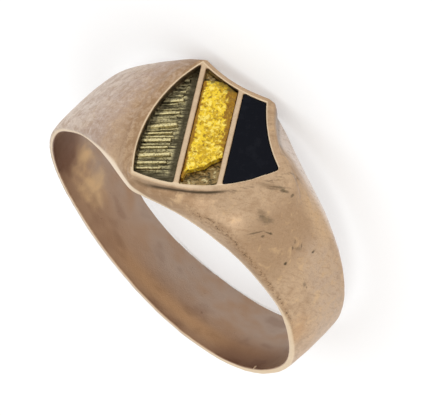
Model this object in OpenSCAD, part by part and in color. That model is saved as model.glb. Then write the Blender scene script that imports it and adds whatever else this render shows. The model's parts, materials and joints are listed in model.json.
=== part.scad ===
// A signet ring whose flat face is a shield, split by two slanting bars into three enamel cells.
// It lies on its side: the finger axis stands nearly upright, and the shield's base point is at the top.
// Places round the ring are degrees from the middle of the head. Near is the upper rim, far the lower one.

/* [Finger hole] */
// Diameter of the finger hole
hole_d = 19; // [18.5:0.1:19.2]

/* [Band] */
// Sections round the band
sections = 84; // [60:6:108]
// Points across the outer side of each section, down to the far flank
across = 17; // [9:2:19]

/* [Shield face] */
// Height of the flat face above the finger axis
face_h = 11.04; // [11:0.02:11.3]
// Middle of the shield to its base point
shield_tip = 4.38; // [4:0.02:4.5]
// Middle of the shield to its upper point
shield_top = 4.48; // [4.2:0.02:4.6]
// Middle of the shield to each ear, sideways
ear_out = 4.34; // [4:0.02:4.4]
// Middle of the shield to each ear, towards the upper point
ear_up = 2.76; // [2.5:0.02:2.9]
// Swell of the two long sides
side_swell = 1.02; // [0.6:0.02:1.2]
// Hollow of the two upper sides
top_hollow = 0.28; // [0.06:0.02:0.4]
// Turn of the shield about its own middle, in degrees
shield_turn = -16.8; // [-20:0.2:-12]
// Middle of the shield, sideways of the middle of the head
shield_x = -1.21; // [-1.4:0.02:-1]
// Middle of the shield, towards the near rim
shield_z = 0.53; // [0.4:0.02:0.6]
// Width of the lip on the long side beside the bare cell
bare_lip = 0.32; // [0.26:0.02:0.4]
// Width of the lip on the upper side beside the yellow cell
yellow_lip = 0.34; // [0.26:0.02:0.4]
// Width of the lip on the upper side beside the black cell
black_lip = 0.5; // [0.4:0.02:0.56]
// Width of the lip on the other long side, across all three cells
cross_lip = 0.4; // [0.3:0.02:0.44]

/* [Cells and enamel] */
// Depth of the cells
cell_depth = 0.55; // [0.4:0.05:0.6]
// Direction of the bars in degrees
bar_turn = -41.6; // [-44:0.2:-39]
// Width of the bars
bar_w = 0.33; // [0.25:0.01:0.45]
// Middle of the bar between the bare cell and the yellow one, from the middle of the shield
bar_1 = 0.71; // [0.6:0.01:0.8]
// Middle of the bar between the yellow cell and the black one, from the middle of the shield
bar_2 = 1.76; // [1.7:0.01:1.85]
// Gap between an enamel piece and its cell
enamel_gap = 0.02; // [0.01:0.01:0.04]
// Depth of the yellow enamel's top below the face
yellow_below = 0.1; // [0.05:0.01:0.2]
// Depth of the black enamel's top below the face
black_below = 0.03; // [0.02:0.01:0.1]
// Ridges cut in the floor of the bare cell
ridges = 15; // [8:1:15]
// Distance from ridge to ridge
ridge_step = 0.53; // [0.4:0.01:0.53]
// Height of a ridge
ridge_h = 0.12; // [0.06:0.01:0.2]
// Width of a ridge
ridge_w = 0.2; // [0.12:0.01:0.3]
// Slant of the ridges from square across the cell, in degrees
ridge_slant = 13; // [0:1:20]
// Smooth floor left between the ridges and the first bar
ridge_margin = 0.45; // [0.2:0.05:0.6]

/* [Rest] */
// Lean of the finger axis that brings the head and the back of the band down together
rest_lean = -6.43; // [-8:0.01:-5]
// Roll of the finger axis to the side
rest_roll = 1.82; // [-1:0.01:3]

/* [Hidden] */
hole_r = hole_d / 2;
lips = [bare_lip, yellow_lip, black_lip, cross_lip];
yellow_from = bar_w / 2 - bar_2;
yellow_to = bar_1 - bar_w / 2;

// Columns of the band's sections: the place, the half widths to the near and far rims,
// the outer radius at the near rim, at the crown and at the far rim, the fullness of the curve between,
// and the far flank's start as a share of the half width, with how flat that flank is (0 curved, 1 straight).
PLACE = 0;
NEAR = 1;
FAR = 2;
NEAR_R = 3;
CROWN_R = 4;
FAR_R = 5;
FULL = 6;
BREAK = 7;
FLAT = 8;
BAND = [
    [-180, 2.24, 2.12, 9.86, 10.00, 9.80, 2.0, 0.70, 0.0],
    [-150, 2.30, 2.16, 9.86, 10.00, 9.80, 2.0, 0.70, 0.0],
    [-120, 2.22, 1.98, 9.84, 9.95, 9.80, 2.0, 0.70, 0.0],
    [ -90, 2.54, 2.06, 9.82, 10.02, 9.80, 2.0, 0.70, 0.0],
    [ -70, 2.68, 2.36, 9.82, 10.26, 9.82, 2.1, 0.70, 0.1],
    [ -55, 3.05, 2.66, 9.82, 10.72, 9.84, 2.3, 0.68, 0.4],
    [ -42, 3.42, 2.98, 9.84, 11.55, 9.86, 2.5, 0.60, 0.9],
    [ -34, 3.70, 3.26, 9.86, 12.45, 9.88, 2.7, 0.52, 1.0],
    [ -29, 3.88, 3.50, 9.86, 12.62, 9.88, 2.7, 0.50, 1.0],
    [ -22, 4.17, 3.90, 9.88, 11.78, 9.90, 2.6, 0.50, 1.0],
    [ -12, 4.64, 4.34, 9.92, 10.85, 9.92, 2.6, 0.55, 0.8],
    [  -5, 4.98, 4.10, 9.96, 10.65, 9.90, 2.6, 0.60, 0.5],
    [   0, 5.14, 3.92, 10.00, 10.60, 9.90, 2.6, 0.65, 0.3],
    [   8, 4.78, 3.90, 9.90, 10.75, 9.90, 2.6, 0.65, 0.2],
    [  16, 4.33, 4.18, 9.86, 11.02, 9.88, 2.6, 0.65, 0.2],
    [  25, 3.90, 3.52, 9.84, 10.82, 9.84, 2.5, 0.65, 0.2],
    [  35, 3.52, 2.84, 9.82, 10.45, 9.82, 2.3, 0.65, 0.2],
    [  45, 3.32, 2.46, 9.80, 10.20, 9.80, 2.1, 0.65, 0.1],
    [  60, 2.95, 2.20, 9.80, 10.02, 9.78, 2.0, 0.70, 0.0],
    [  80, 2.60, 2.10, 9.80, 9.97, 9.78, 2.0, 0.70, 0.0],
    [ 120, 2.12, 1.98, 9.86, 9.98, 9.80, 2.0, 0.70, 0.0],
    [ 150, 2.12, 1.90, 9.88, 10.00, 9.80, 2.0, 0.70, 0.0]
];
// The sections crowd towards the head by this much
crowding = 25;
// Points down the far flank
flank_points = 5;
// The loft's inner radius, which the finger hole then cuts away
core_r = hole_r - 0.6;

// Columns of the head's layers: depth below the face, and growth of the lip's outline on the two long sides,
// on the upper side beside the yellow cell, and on the upper side beside the black cell
DEPTH = 0;
LONG_GROW = 1;
YELLOW_GROW = 2;
BLACK_GROW = 3;
GROWTH = [LONG_GROW, YELLOW_GROW, BLACK_GROW, LONG_GROW];
HEAD = [
    [0.00, -0.10, -0.10, -0.10],
    [0.04, -0.03, -0.03, -0.03],
    [0.13, 0.00, 0.00, 0.00],
    [0.50, 0.00, 0.02, 0.06],
    [1.10, 0.00, 0.10, 0.12],
    [1.85, -0.05, 0.08, 0.10]
];
// Points along each side of the shield
side_points = 10;
// Place along the first bar where the ridges start, from the middle of the shield
ridge_start = -3;
// What is left of the yellow enamel, whose two ends are chipped away: places along and across the bars
yellow_left = [
    [-2.88, 0.80], [-2.86, 0.38], [-2.26, 0.28], [-2.16, -0.04], [-2.00, -0.32], [-1.88, -0.66],
    [-1.56, -0.90], [-1.34, -1.18], [-1.10, -1.50], [-1.00, -2.30], [3.30, -2.30], [3.44, -1.50],
    [3.78, -1.00], [4.05, -0.55], [4.02, 0.12], [3.92, 0.80]
];

// Beside the two long lips the shoulders are lifted to this much below the face
flush_step = 0.06;
// How much lower they stay where a crease runs under the lip that crosses all three cells, and where along
// the shield it starts and ends, each with the length over which it fades
crease_step = 0.12;
crease_reach = [0.1, 1.0, 4.0, 2.6];
// Fall of the lifted shoulder with the distance from the lip, and with its square
lift_fall = [0.25, 0.5];
// Distances from the lip between which the lift fades, the same past the lip beside the black cell,
// and shares of the half width between which it fades towards the far flank
lift_fade = [1.1, 0.2];
flank_fade = [0.35, -0.25];
far_fade = [-0.85, -0.45];
// The lift ends at both rims; the higher this power, the nearer to them
lift_power = 24;
// Degrees from the middle of the head beyond which nothing is lifted
lift_end = 50;

// Catmull-Rom value of one column of the band's table at a place, going round past both ends
function row_at(i) = let(n = len(BAND), k = ((i % n) + n) % n) BAND[k];
function row_place(i) = row_at(i)[PLACE] + 360 * floor(i / len(BAND));
function slope(i, column) =
    (row_at(i + 1)[column] - row_at(i - 1)[column]) / (row_place(i + 1) - row_place(i - 1));
function row_before(place, i = 0) = row_place(i + 1) > place ? i : row_before(place, i + 1);
function band_at(place, column) =
    let(
        i = row_before(place),
        span = row_place(i + 1) - row_place(i),
        t = (place - row_place(i)) / span,
        a = row_at(i)[column],
        b = row_at(i + 1)[column],
        sa = slope(i, column) * span,
        sb = slope(i + 1, column) * span
    )
    a + sa * t + (3 * (b - a) - 2 * sa - sb) * t * t + (2 * (a - b) + sa + sb) * t * t * t;

// Shield outline in its own plane, base point up: corners, then arcs that swell or hollow between them
corners = [[0, shield_tip], [ear_out, -ear_up], [0, -shield_top], [-ear_out, -ear_up]];
swells = [side_swell, -top_hollow, -top_hollow, side_swell];
// Centre of a side's circle, its radius (negative where the side is hollow), half the angle that the side
// takes of it, and the directions along the side and out of it
function side_circle(side) =
    let(
        a = corners[side],
        b = corners[(side + 1) % 4],
        chord = norm(b - a),
        along = (b - a) / chord,
        out = [-along[1], along[0]],
        half_angle = 2 * atan(2 * swells[side] / chord),
        radius = chord / 2 / sin(half_angle)
    )
    [(a + b) / 2 - out * radius * cos(half_angle), radius, half_angle, along, out];
function arc_point(side, t, grow) =
    let(circle = side_circle(side), angle = circle[2] * (2 * t - 1))
    circle[0] + (circle[1] + grow) * (circle[3] * sin(angle) + circle[4] * cos(angle));
// How far outside one side's lip a point of the shield's plane is
function past_lip(side, point) =
    let(circle = side_circle(side)) sign(circle[1]) * norm(point - circle[0]) - circle[1] - lips[side];
// A point of the ring, seen square to the face, in the shield's plane
function in_shield(x, z) =
    let(c = cos(shield_turn), s = sin(shield_turn), dx = x - shield_x, dz = z - shield_z)
    [c * dx + s * dz, c * dz - s * dx];

// Outer radius between an edge at |v| = 1 and the crown at v = 0
function domed(v, edge, crown, full) = edge + (crown - edge) * pow(max(0, 1 - pow(abs(v), full)), 1 / full);
function ease(value, start, end) = let(t = max(0, min(1, (value - start) / (end - start)))) t * t * (3 - 2 * t);
// A radius raised beside the two long lips
function lifted(radius, place, height, v) =
    let(
        at = in_shield(radius * sin(place), height),
        beyond = max(0, past_lip(0, at), past_lip(3, at)),
        crease = ease(-at[0], crease_reach[0], crease_reach[1]) * ease(-at[0], crease_reach[2], crease_reach[3]),
        fall = flush_step + crease_step * crease + lift_fall[0] * beyond + lift_fall[1] * beyond * beyond,
        raised = (face_h - fall) / cos(place),
        share = (1 - pow(v, lift_power)) * ease(beyond, lift_fade[0], lift_fade[1])
            * ease(past_lip(2, at), flank_fade[0], flank_fade[1]) * ease(v, far_fade[0], far_fade[1])
    )
    abs(place) > lift_end ? radius : radius + share * max(0, raised - radius);
// One closed section of the band at a place: the outer curve from the near rim to the far one, and the core
function section_points(place) =
    let(
        near = band_at(place, NEAR),
        far = band_at(place, FAR),
        middle = (near - far) / 2,
        half = (near + far) / 2,
        near_r = band_at(place, NEAR_R),
        far_r = band_at(place, FAR_R),
        crown = band_at(place, CROWN_R),
        full = band_at(place, FULL),
        flank = band_at(place, BREAK),
        flat = max(0, min(1, band_at(place, FLAT))),
        flank_r = domed(flank, far_r, crown, full)
    )
    concat(
        [[core_r, near]],
        [for (k = [0 : across - 1])
            let(v = cos((90 + asin(flank)) * k / (across - 1)), height = middle + half * v)
            [lifted(domed(v, v > 0 ? near_r : far_r, crown, full), place, height, v), height]],
        [for (k = [1 : flank_points])
            let(
                v = -flank - (1 - flank) * sin(90 * k / flank_points),
                height = middle + half * v,
                straight = far_r + (flank_r - far_r) * (1 + v) / (1 - flank)
            )
            [lifted(flat * straight + (1 - flat) * domed(v, far_r, crown, full), place, height, v), height]],
        [[core_r, -far]]
    );
function round_place(i) = let(a = 360 * i / sections - 180) a - crowding * sin(a);
function band_points() = [
    for (i = [0 : sections - 1])
        let(place = round_place(i))
        for (p = section_points(place)) [p[0] * sin(place), -p[0] * cos(place), p[1]]
];
// Faces between rings of points, each ring closed, and the whole tube closed on itself or by flat ends
function tube_faces(rings, round, closed) = [
    for (i = [0 : rings - (closed ? 1 : 2)], k = [0 : round - 1])
        let(
            a = i * round,
            b = ((i + 1) % rings) * round,
            n = (k + 1) % round
        )
        each [[a + k, b + k, b + n], [a + k, b + n, a + n]]
];

function grown_outline(row) = [
    for (side = [0 : 3], k = [0 : side_points])
        arc_point(side, k / side_points, lips[side] + row[GROWTH[side]])
];
function plain_outline(scale) = [
    for (side = [0 : 3], k = [0 : side_points - 1]) arc_point(side, k / side_points, 0) * scale
];

module on_face() {
    translate([shield_x, -face_h, shield_z]) rotate([90, 0, 0]) rotate([0, 0, shield_turn]) children();
}

module as_it_lies() {
    rotate([rest_lean, rest_roll, 0]) children();
}

module band() {
    polyhedron(band_points(), tube_faces(sections, across + flank_points + 2, true), convexity = 6);
}

module head() {
    round = 4 * (side_points + 1);
    layers = len(HEAD);
    points = [for (row = HEAD, p = grown_outline(row)) [p[0], p[1], -row[DEPTH]]];
    top = [for (k = [0 : round - 1]) k];
    bottom = [for (k = [round - 1 : -1 : 0]) (layers - 1) * round + k];
    on_face() polyhedron(points, concat(tube_faces(layers, round, false), [top, bottom]), convexity = 4);
}

// The part of the shield between two lines along the bars
module strip_plan(low, high, shrink) {
    intersection() {
        polygon(plain_outline(1 - shrink / ear_up));
        rotate(bar_turn) translate([-2 * shield_tip, low + shrink])
            square([4 * shield_tip, high - low - 2 * shrink]);
    }
}

// Raised ridges across the bare cell's floor, their feet sunk in it
module floor_ridges() {
    sunk = 0.05;
    on_face() translate([0, 0, -cell_depth - sunk]) linear_extrude(ridge_h + sunk) intersection() {
        strip_plan(bar_1 + bar_w / 2 + ridge_margin, 2 * shield_tip, enamel_gap);
        rotate(bar_turn) for (k = [0 : ridges - 1])
            translate([ridge_start + k * ridge_step, 0]) rotate(90 + ridge_slant)
                translate([0, -ridge_w / 2]) square([shield_tip, ridge_w]);
    }
}

module cell_cut(low, high) {
    on_face() translate([0, 0, -cell_depth]) linear_extrude(2 * cell_depth) strip_plan(low, high, 0);
}

module on_floor(height) {
    on_face() translate([0, 0, enamel_gap - cell_depth]) linear_extrude(height - enamel_gap) children();
}

module ring_body() color("rosybrown") as_it_lies() {
    difference() {
        union() {
            band();
            head();
        }
        cylinder(h = 4 * shield_tip, r = hole_r, center = true, $fn = 180);
        cell_cut(bar_1 + bar_w / 2, 2 * shield_tip);
        cell_cut(yellow_from, yellow_to);
        cell_cut(-2 * shield_tip, -bar_2 - bar_w / 2);
    }
    floor_ridges();
}

module yellow_enamel() color("gold") as_it_lies() on_floor(cell_depth - yellow_below) intersection() {
    strip_plan(yellow_from, yellow_to, enamel_gap);
    rotate(bar_turn) polygon(yellow_left);
}

module black_enamel() color("black") as_it_lies() on_floor(cell_depth - black_below)
    strip_plan(-2 * shield_tip, -bar_2 - bar_w / 2, enamel_gap);

ring_body();
yellow_enamel();
black_enamel();
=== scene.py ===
# %% [markdown]
# # A worn signet ring with an enamelled shield
# The ring is cast in rose gold. Its head is a flat shield whose lip and two slanting bars fence off three
# cells: one has lost its enamel and shows the cut floor, one holds clear yellow enamel over crinkled foil,
# and one holds glossy black enamel. The imported model gives the true size and the place where the ring lies,
# so it is loaded first.

import json
import math
import random
from collections import namedtuple

import bpy
from mathutils import Matrix, Quaternion, Vector

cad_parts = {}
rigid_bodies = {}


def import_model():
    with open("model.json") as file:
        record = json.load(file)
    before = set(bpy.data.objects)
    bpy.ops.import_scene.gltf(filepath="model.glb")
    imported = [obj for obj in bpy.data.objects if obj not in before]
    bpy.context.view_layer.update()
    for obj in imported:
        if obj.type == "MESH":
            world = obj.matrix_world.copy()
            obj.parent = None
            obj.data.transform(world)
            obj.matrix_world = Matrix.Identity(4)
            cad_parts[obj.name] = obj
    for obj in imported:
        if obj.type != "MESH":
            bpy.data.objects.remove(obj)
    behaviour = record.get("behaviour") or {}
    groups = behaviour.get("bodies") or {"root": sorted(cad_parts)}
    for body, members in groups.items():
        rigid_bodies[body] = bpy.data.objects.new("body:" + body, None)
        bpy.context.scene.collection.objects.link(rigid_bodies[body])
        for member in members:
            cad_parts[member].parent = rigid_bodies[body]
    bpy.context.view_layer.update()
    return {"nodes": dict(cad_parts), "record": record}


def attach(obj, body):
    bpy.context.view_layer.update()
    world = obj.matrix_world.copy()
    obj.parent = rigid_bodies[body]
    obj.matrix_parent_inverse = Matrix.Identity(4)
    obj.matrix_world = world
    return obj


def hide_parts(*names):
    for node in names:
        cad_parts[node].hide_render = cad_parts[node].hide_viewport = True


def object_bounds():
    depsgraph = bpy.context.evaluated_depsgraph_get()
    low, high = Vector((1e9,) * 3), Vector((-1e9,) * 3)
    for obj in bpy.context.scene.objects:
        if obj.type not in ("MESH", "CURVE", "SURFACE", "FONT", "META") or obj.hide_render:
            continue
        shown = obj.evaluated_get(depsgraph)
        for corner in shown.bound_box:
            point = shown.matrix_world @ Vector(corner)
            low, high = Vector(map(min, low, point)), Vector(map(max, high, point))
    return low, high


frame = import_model()
MM = 0.001
print("packed nodes:", ", ".join(sorted(frame["nodes"])))

# %% [markdown]
# ## Where the ring lies
# The pieces are modelled in millimetres in the ring's own frame, because that is how a jeweller measures:
# the finger axis is z, the head is towards -y, and the near rim is the upper one. The ring lies on its side
# and leans a little, since its head is wider than the back of its band. The record's finger hole has the
# leaning axis, so both turns come from there, and one matrix then carries a finished piece to its place.

# %% Read the finger hole and make the matrix
finger_hole = next(mount for mount in frame["record"]["mounts"] if mount["name"] == "finger_hole")
hole_r = finger_hole["dims"]["r_mm"]
finger_axis = Vector(finger_hole["axis"]).normalized()
lean = -math.asin(finger_axis.y)
roll = math.asin(finger_axis.x / math.cos(lean))
AS_IT_LIES = Matrix.Scale(MM, 4) @ Matrix.Rotation(roll, 4, "Y") @ Matrix.Rotation(lean, 4, "X")
print(f"hole radius {hole_r} mm, lean {math.degrees(lean):.2f}, roll {math.degrees(roll):.2f} degrees")

# %% [markdown]
# ## The camera
# A small thing is photographed from a distance with a long lens, so its shape is hardly bent by perspective.
# The camera looks down on the lying ring at the angle of the photograph, and it is turned about its own line
# of sight until the ring stands in the picture as it does there.

# %% Make the camera
IMAGE_WIDTH = 432
SENSOR_MM = 36.0
FOCAL_IN_PIXELS = 4969.5
CAMERA_AZIMUTH = math.radians(-25.5)
CAMERA_ELEVATION = math.radians(28.475)
CAMERA_ROLL = math.radians(-131.652)
CAMERA_DISTANCE = 294.92 * MM
AIM = Vector((-0.31, -0.561, -1.18)) * MM


def make_camera():
    data = bpy.data.cameras.new("camera")
    data.sensor_width = SENSOR_MM
    data.lens = FOCAL_IN_PIXELS / IMAGE_WIDTH * SENSOR_MM
    data.clip_start = 0.01
    data.clip_end = 10
    camera = bpy.data.objects.new("camera", data)
    bpy.context.scene.collection.objects.link(camera)
    back = Vector((
        math.sin(CAMERA_AZIMUTH) * math.cos(CAMERA_ELEVATION),
        -math.cos(CAMERA_AZIMUTH) * math.cos(CAMERA_ELEVATION),
        math.sin(CAMERA_ELEVATION),
    ))
    camera.location = AIM + back * CAMERA_DISTANCE
    camera.rotation_mode = "QUATERNION"
    camera.rotation_quaternion = (-back).to_track_quat("-Z", "Y") @ Quaternion((0, 0, 1), CAMERA_ROLL)
    bpy.context.scene.camera = camera
    return camera


camera = make_camera()
print("camera at", [round(value, 4) for value in camera.location], "lens", round(camera.data.lens, 1), "mm")

# %% [markdown]
# ## A few helpers
# An operator works on everything that is selected, and the loaded nodes are all selected, so each step first
# selects nothing, or only its own object. A modifier is added, set and applied in one go, as one would do by
# hand in the modifier panel.

# %% Define the helpers
def select_only(*chosen):
    if bpy.context.object and bpy.context.object.mode != "OBJECT":
        bpy.ops.object.mode_set(mode="OBJECT")
    bpy.ops.object.select_all(action="DESELECT")
    for obj in chosen:
        obj.select_set(True)
        bpy.context.view_layer.objects.active = obj


def new_object(name):
    """The primitive that an operator has just added, under a plain name."""
    obj = bpy.context.object
    obj.name = name
    obj.data.name = name
    return obj


def finish_with(obj, kind, **settings):
    modifier = obj.modifiers.new(kind.lower(), kind)
    for name, value in settings.items():
        setattr(modifier, name, value)
    select_only(obj)
    bpy.ops.object.modifier_apply(modifier=modifier.name)


def soften(obj, width, angle):
    """A narrow bevel on each edge that bends by more than this angle."""
    finish_with(obj, "BEVEL", width=width, segments=3, limit_method="ANGLE", angle_limit=angle)


def boolean(obj, other, operation):
    finish_with(obj, "BOOLEAN", solver="EXACT", operation=operation, object=other)


def join(target, *others):
    select_only(*others, target)
    bpy.ops.object.join()


def face_outwards(obj):
    select_only(obj)
    bpy.ops.object.mode_set(mode="EDIT")
    bpy.ops.mesh.select_all(action="SELECT")
    bpy.ops.mesh.remove_doubles(threshold=0.0005)
    bpy.ops.mesh.normals_make_consistent(inside=False)
    bpy.ops.object.mode_set(mode="OBJECT")


def carry(obj, matrix):
    """Moves the mesh by a matrix and leaves its object at the origin, unturned and unscaled."""
    obj.matrix_world = matrix
    select_only(obj)
    bpy.ops.object.transform_apply(location=True, rotation=True, scale=True)


def triangles(obj):
    return sum(len(polygon.vertices) - 2 for polygon in obj.data.polygons)


# %% [markdown]
# ## The shield's outline
# The shield is drawn in its own plane, base point up. Two of its sides swell and two are slightly hollow,
# and each is an arc between two corners, so four corners and four swells draw it. The lip is as wide as the
# table of lips says, but it narrows a little near the base point on the side that crosses all three cells.
# The band needs to know the outline too, because its shoulders rise to meet the head.

# %% Draw the outline
FACE_HEIGHT = 11.04
SHIELD_TIP = 4.38
SHIELD_TOP = 4.48
EAR_OUT = 4.34
EAR_UP = 2.76
SIDE_SWELL = 1.02
TOP_HOLLOW = 0.28
SHIELD_TURN = math.radians(-16.8)
SHIELD_X = -1.21
SHIELD_Z = 0.53
SIDE_POINTS = 24
BARE_SIDE, YELLOW_SIDE, BLACK_SIDE, CROSS_SIDE = range(4)
CORNERS = [Vector(point) for point in (
    (0, SHIELD_TIP), (EAR_OUT, -EAR_UP), (0, -SHIELD_TOP), (-EAR_OUT, -EAR_UP),
)]
SWELLS = (SIDE_SWELL, -TOP_HOLLOW, -TOP_HOLLOW, SIDE_SWELL)
LIPS = (0.32, 0.34, 0.50, 0.40)
NARROWED = 0.13
NARROWING = (0.8, 3.6)
ON_FACE = (
    Matrix.Translation((SHIELD_X, -FACE_HEIGHT, SHIELD_Z))
    @ Matrix.Rotation(math.pi / 2, 4, "X")
    @ Matrix.Rotation(SHIELD_TURN, 4, "Z")
)


def side_circle(side):
    """Centre and signed radius of a side's circle: the radius is negative where the side is hollow."""
    a, b = CORNERS[side], CORNERS[(side + 1) % 4]
    along = (b - a).normalized()
    out = Vector((-along.y, along.x))
    half_angle = 2 * math.atan(2 * SWELLS[side] / (b - a).length)
    radius = (b - a).length / 2 / math.sin(half_angle)
    return (a + b) / 2 - out * radius * math.cos(half_angle), radius, half_angle, along, out


def side_point(side, t, grow):
    centre, radius, half_angle, along, out = side_circle(side)
    angle = half_angle * (2 * t - 1)
    return centre + (radius + grow) * (along * math.sin(angle) + out * math.cos(angle))


def ease(value, start, end):
    """0 at start and 1 at end, eased between them; start may be the larger one."""
    t = max(0.0, min(1.0, (value - start) / (end - start)))
    return t * t * (3 - 2 * t)


def grown_outline(growths, narrowed=0.0):
    """The outline grown on each side; the side across all cells grows less near the base point."""
    outline = []
    for side in range(4):
        for k in range(SIDE_POINTS + 1):
            t = k / SIDE_POINTS
            less = narrowed * ease(side_point(side, t, 0).y, *NARROWING) if side == CROSS_SIDE else 0.0
            outline.append(side_point(side, t, growths[side] - less))
    return outline


def past_lips(x, z):
    """How far a point is outside each side's lip, seen square to the face, and how far to the side it is."""
    point = Matrix.Rotation(-SHIELD_TURN, 2) @ Vector((x - SHIELD_X, z - SHIELD_Z))
    distances = []
    for side, lip in enumerate(LIPS):
        centre, radius = side_circle(side)[:2]
        distances.append(math.copysign((point - centre).length, radius) - radius - lip)
    distances[CROSS_SIDE] += NARROWED * ease(point.y, *NARROWING)
    return distances, point.x


print("outline points:", len(grown_outline(LIPS)))

# %% [markdown]
# ## The band's sections
# The band is broad and high at the shoulders and narrow and thin at the back. It was filed by eye, so no
# single curve gives it. The table has a row for each place round the ring where the section changes, in
# degrees from the middle of the head: the half widths to the near and the far rim, the outer radius at the
# near rim, the crown and the far rim, how full the curve between them is, and where the far flank starts and
# how flat it is. A cubic through the rows gives every place between them. The shoulders are then lifted
# beside the head's two long lips, to meet them.

# %% Write down the sections
Section = namedtuple("Section", "place near far near_r crown_r far_r full flank flat")
SECTIONS = [Section(*row) for row in (
    (-180, 2.24, 2.12, 9.86, 10.00, 9.80, 2.0, 0.70, 0.0),
    (-150, 2.30, 2.16, 9.86, 10.00, 9.80, 2.0, 0.70, 0.0),
    (-120, 2.22, 1.98, 9.84, 9.95, 9.80, 2.0, 0.70, 0.0),
    (-90, 2.54, 2.06, 9.82, 10.02, 9.80, 2.0, 0.70, 0.0),
    (-70, 2.68, 2.36, 9.82, 10.26, 9.82, 2.1, 0.70, 0.1),
    (-55, 3.05, 2.66, 9.82, 10.72, 9.84, 2.3, 0.68, 0.4),
    (-42, 3.42, 2.98, 9.84, 11.55, 9.86, 2.5, 0.60, 0.9),
    (-34, 3.70, 3.26, 9.86, 12.45, 9.88, 2.7, 0.52, 1.0),
    (-29, 3.88, 3.50, 9.86, 12.62, 9.88, 2.7, 0.50, 1.0),
    (-22, 4.17, 3.90, 9.88, 11.78, 9.90, 2.6, 0.50, 1.0),
    (-12, 4.64, 4.34, 9.92, 10.85, 9.92, 2.6, 0.55, 0.8),
    (-5, 4.98, 4.10, 9.96, 10.65, 9.90, 2.6, 0.60, 0.5),
    (0, 5.14, 3.92, 10.00, 10.60, 9.90, 2.6, 0.65, 0.3),
    (8, 4.78, 3.90, 9.90, 10.75, 9.90, 2.6, 0.65, 0.2),
    (16, 4.33, 4.18, 9.86, 11.02, 9.88, 2.6, 0.65, 0.2),
    (25, 3.90, 3.52, 9.84, 10.82, 9.84, 2.5, 0.65, 0.2),
    (35, 3.52, 2.84, 9.82, 10.45, 9.82, 2.3, 0.65, 0.2),
    (45, 3.32, 2.46, 9.80, 10.20, 9.80, 2.1, 0.65, 0.1),
    (60, 2.95, 2.20, 9.80, 10.02, 9.78, 2.0, 0.70, 0.0),
    (80, 2.60, 2.10, 9.80, 9.97, 9.78, 2.0, 0.70, 0.0),
    (120, 2.12, 1.98, 9.86, 9.98, 9.80, 2.0, 0.70, 0.0),
    (150, 2.12, 1.90, 9.88, 10.00, 9.80, 2.0, 0.70, 0.0),
)]


def section_row(index):
    turns, within = divmod(index, len(SECTIONS))
    row = SECTIONS[within]
    return row._replace(place=row.place + 360 * turns)


def section_at(place):
    """The section at a place, column by column, from the cubic through the rows before and after it."""
    index = sum(row.place <= place for row in SECTIONS) - 1
    before, start, end, after = (section_row(index + step) for step in (-1, 0, 1, 2))
    span = end.place - start.place
    t = (place - start.place) / span
    values = []
    for p, a, b, q in zip(before, start, end, after):
        slope_a = (b - p) / (end.place - before.place) * span
        slope_b = (q - a) / (after.place - start.place) * span
        bend = 3 * (b - a) - 2 * slope_a - slope_b
        values.append(a + slope_a * t + bend * t * t + (2 * (a - b) + slope_a + slope_b) * t ** 3)
    return Section(*values)


def domed(v, edge, crown, full):
    """Radius between an edge at v = -1 or 1 and the crown at v = 0."""
    return edge + (crown - edge) * max(0.0, 1 - abs(v) ** full) ** (1 / full)


def outer_radius(section, v):
    edge = section.near_r if v > 0 else section.far_r
    radius = domed(v, edge, section.crown_r, section.full)
    if v > -section.flank:
        return radius
    flat = min(1.0, max(0.0, section.flat))
    start = domed(section.flank, section.far_r, section.crown_r, section.full)
    straight = section.far_r + (start - section.far_r) * (1 + v) / (1 - section.flank)
    return flat * straight + (1 - flat) * radius


FLUSH_STEP = 0.06
CREASE_STEP = 0.12
DROP_SLOPE = 0.25
DROP_BEND = 0.5
LIFT_POWER = 24
LIFT_REACH = (1.1, 0.2)
FLANK_FADE = (0.35, -0.25)
FAR_FADE = (-0.85, -0.45)
LIFTED_WITHIN = math.radians(50)
CREASE_START = (0.1, 1.0)
CREASE_END = (4.0, 2.6)


def lifted(radius, place, height, v):
    """The shoulder's radius, raised beside the two long lips. It meets the lip nearly flush, but along the
    middle of the side that crosses all three cells it stays a small step lower, which makes the crease."""
    if abs(place) > LIFTED_WITHIN:
        return radius
    past, along = past_lips(radius * math.sin(place), height)
    beyond = max(0.0, past[BARE_SIDE], past[CROSS_SIDE])
    crease = ease(-along, *CREASE_START) * ease(-along, *CREASE_END)
    drop = FLUSH_STEP + CREASE_STEP * crease + DROP_SLOPE * beyond + DROP_BEND * beyond ** 2
    raised = (FACE_HEIGHT - drop) / math.cos(place)
    share = (1 - v ** LIFT_POWER) * ease(beyond, *LIFT_REACH)
    share *= ease(past[BLACK_SIDE], *FLANK_FADE) * ease(v, *FAR_FADE)
    return radius + share * max(0.0, raised - radius)


print("sections:", len(SECTIONS), "widest", max(row.near + row.far for row in SECTIONS), "mm")

# %% [markdown]
# ## The band
# A sheet of the right width is bent into a hoop: here that is an open cylinder with cuts across its width,
# thickened inwards by Solidify. Its height runs from -1 at the far rim to 1 at the near one, and its
# thickness from 0 at the finger hole to 1 outside, so each vertex already says where it belongs on the
# section. The shaping then only has to put it there. Places and cuts crowd towards the head and the rims,
# where the shape turns most. A narrow bevel takes the sharpness off the rims.

# %% Bend and shape the band
PLACES = 264
CUTS = 33
CROWDING = math.radians(25)


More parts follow.
